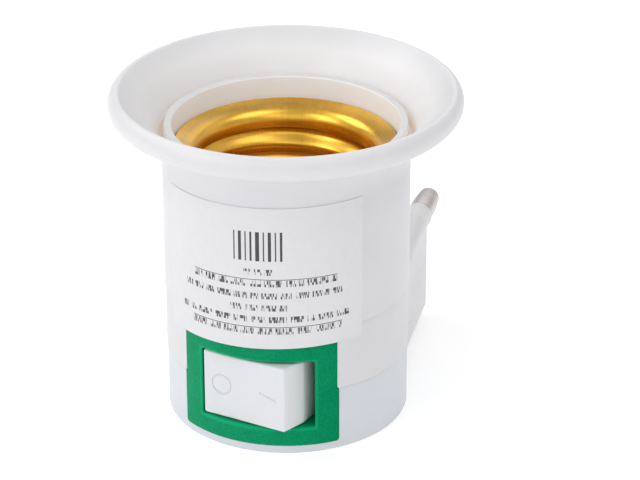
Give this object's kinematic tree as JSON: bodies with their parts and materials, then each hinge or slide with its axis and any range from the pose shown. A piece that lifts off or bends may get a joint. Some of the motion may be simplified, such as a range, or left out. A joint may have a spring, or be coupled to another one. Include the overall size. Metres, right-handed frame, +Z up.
{
  "type": "switched lamp socket adapter",
  "caption": "White plug-in lamp holder with a flared mouth round a gold E27 screw shell, a rocker switch in a green frame, a paper label and a two-pin mains plug.",
  "frame": {"origin": "on the lamp axis, at the underside of the base", "axes": "+Z up along the lamp axis out of the mouth, -Y towards the switch, +Y along the plug pins"},
  "size_m": [0.0484, 0.073, 0.0473],
  "materials": {
    "white_plastic": "satin moulded",
    "green_plastic": "matte, finely speckled",
    "white_rocker": "matte moulded",
    "gold_shell": "bright gold, brushed and scratched",
    "label_paper": "matte paper",
    "nickel": "dull nickel plate",
    "sleeve_plastic": "matte sleeve",
    "contact_brass": "stamped sheet",
    "spring_steel": "wire",
    "screw_steel": "zinc plated",
    "wire_brown": "insulation",
    "wire_blue": "insulation"
  },
  "bodies": {
    "housing": {"upper_housing": "white_plastic", "middle_collar": "white_plastic", "base_cup": "white_plastic", "switch_frame": "green_plastic", "screw_shell": "gold_shell", "paper_label": "label_paper", "plug_pin_right": "nickel", "plug_pin_left": "nickel", "pin_sleeve_right": "sleeve_plastic", "pin_sleeve_left": "sleeve_plastic", "terminal_common": "contact_brass", "terminal_load": "contact_brass", "centre_contact": "contact_brass", "centre_rivet": "nickel", "shell_rivets": "nickel", "wire_live": "wire_brown", "wire_switched": "wire_brown", "wire_neutral": "wire_blue", "housing_screws": "screw_steel"},
    "rocker": {"switch_rocker": "white_rocker", "rocker_plunger": "contact_brass", "plunger_spring": "spring_steel"},
    "seesaw": {"contact_seesaw": "contact_brass"}
  },
  "joints": [
    {"name": "rocker_tilt", "type": "hinge", "parent": "housing", "child": "rocker", "pos_m": [0, -0.00964, 0.0089], "axis": [0, 0, 1], "range_deg": [0, 26.8]},
    {"name": "seesaw_tilt", "type": "hinge", "parent": "housing", "child": "seesaw", "pos_m": [0, -0.00535, 0.0089], "axis": [0, 0, 1], "range_deg": [-14.74, 0]}
  ],
  "couplings": [
    {"joint": "seesaw_tilt", "follows": "rocker_tilt", "ratio": -0.55}
  ]
}
